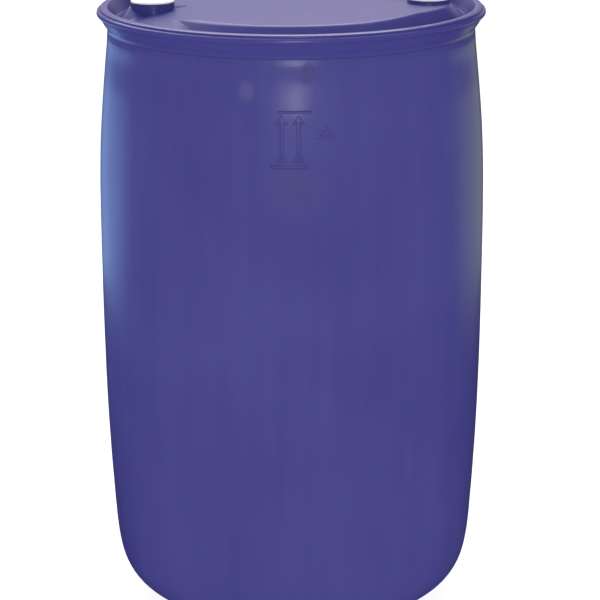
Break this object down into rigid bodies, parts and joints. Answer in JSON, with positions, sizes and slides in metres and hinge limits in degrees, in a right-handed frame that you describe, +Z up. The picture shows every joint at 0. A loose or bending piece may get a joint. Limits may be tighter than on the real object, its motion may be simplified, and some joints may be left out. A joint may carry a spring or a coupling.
{
  "type": "tight-head plastic drum",
  "caption": "Blow-moulded tight-head drum with a fused handling ring, threaded necks in the head, screw plugs with gaskets, a reducer plug and lift-off cap seals.",
  "frame": {"origin": "on the floor, under the middle of the standing rim", "axes": "+Z up along the drum's axis to the closures, +X to the right and -Y towards the viewer who faces the moulded arrows; the closures lie on a line turned 3 degrees from X"},
  "size_m": [0.581, 0.581, 0.937],
  "materials": {
    "shell_plastic": "blow-moulded, satin",
    "ring_plastic": "compression-moulded, satin",
    "neck_plastic": "injection-moulded, satin",
    "plug_plastic": "injection-moulded, satin white",
    "gasket_rubber": "matt black",
    "cap_plastic": "glossy white"
  },
  "bodies": {
    "drum": {"drum_shell": "shell_plastic", "handling_ring": "ring_plastic", "neck_insert_fill": "neck_plastic", "neck_insert_vent": "neck_plastic"},
    "fill_gasket": {"gasket_fill": "gasket_rubber"},
    "fill_plug": {"plug_fill": "plug_plastic"},
    "reducer_gasket": {"gasket_reducer": "gasket_rubber"},
    "reducer_plug": {"plug_reducer": "plug_plastic"},
    "fill_cap": {"cap_seal_fill": "cap_plastic"},
    "vent_gasket": {"gasket_vent": "gasket_rubber"},
    "vent_plug": {"plug_vent": "plug_plastic"},
    "vent_cap": {"cap_seal_vent": "cap_plastic"}
  },
  "joints": [
    {"name": "fill_thread_rise", "type": "slide", "parent": "drum", "child": "fill_gasket", "axis": [0, 0, 1], "range_m": [0, 0.0241]},
    {"name": "fill_plug_turn", "type": "hinge", "parent": "fill_gasket", "child": "fill_plug", "pos_m": [-0.20522, -0.01076, 0.92], "axis": [0, 0, 1], "range_deg": [0, 2160]},
    {"name": "reducer_thread_rise", "type": "slide", "parent": "fill_plug", "child": "reducer_gasket", "axis": [0, 0, 1], "range_m": [0, 0.0146]},
    {"name": "reducer_plug_turn", "type": "hinge", "parent": "reducer_gasket", "child": "reducer_plug", "pos_m": [-0.20522, -0.01076, 0.92], "axis": [0, 0, 1], "range_deg": [0, 2880]},
    {"name": "fill_cap_lift", "type": "slide", "parent": "reducer_plug", "child": "fill_cap", "axis": [0, 0, 1], "range_m": [0, 0.06]},
    {"name": "vent_thread_rise", "type": "slide", "parent": "drum", "child": "vent_gasket", "axis": [0, 0, 1], "range_m": [0, 0.0241]},
    {"name": "vent_plug_turn", "type": "hinge", "parent": "vent_gasket", "child": "vent_plug", "pos_m": [0.20522, 0.01076, 0.92], "axis": [0, 0, 1], "range_deg": [0, 2160]},
    {"name": "vent_cap_lift", "type": "slide", "parent": "vent_plug", "child": "vent_cap", "axis": [0, 0, 1], "range_m": [0, 0.06]}
  ],
  "couplings": [
    {"joint": "fill_thread_rise", "follows": "fill_plug_turn", "m_per_rad": 0.00063662},
    {"joint": "reducer_thread_rise", "follows": "reducer_plug_turn", "m_per_rad": 0.00028871},
    {"joint": "vent_thread_rise", "follows": "vent_plug_turn", "m_per_rad": 0.00063662}
  ]
}
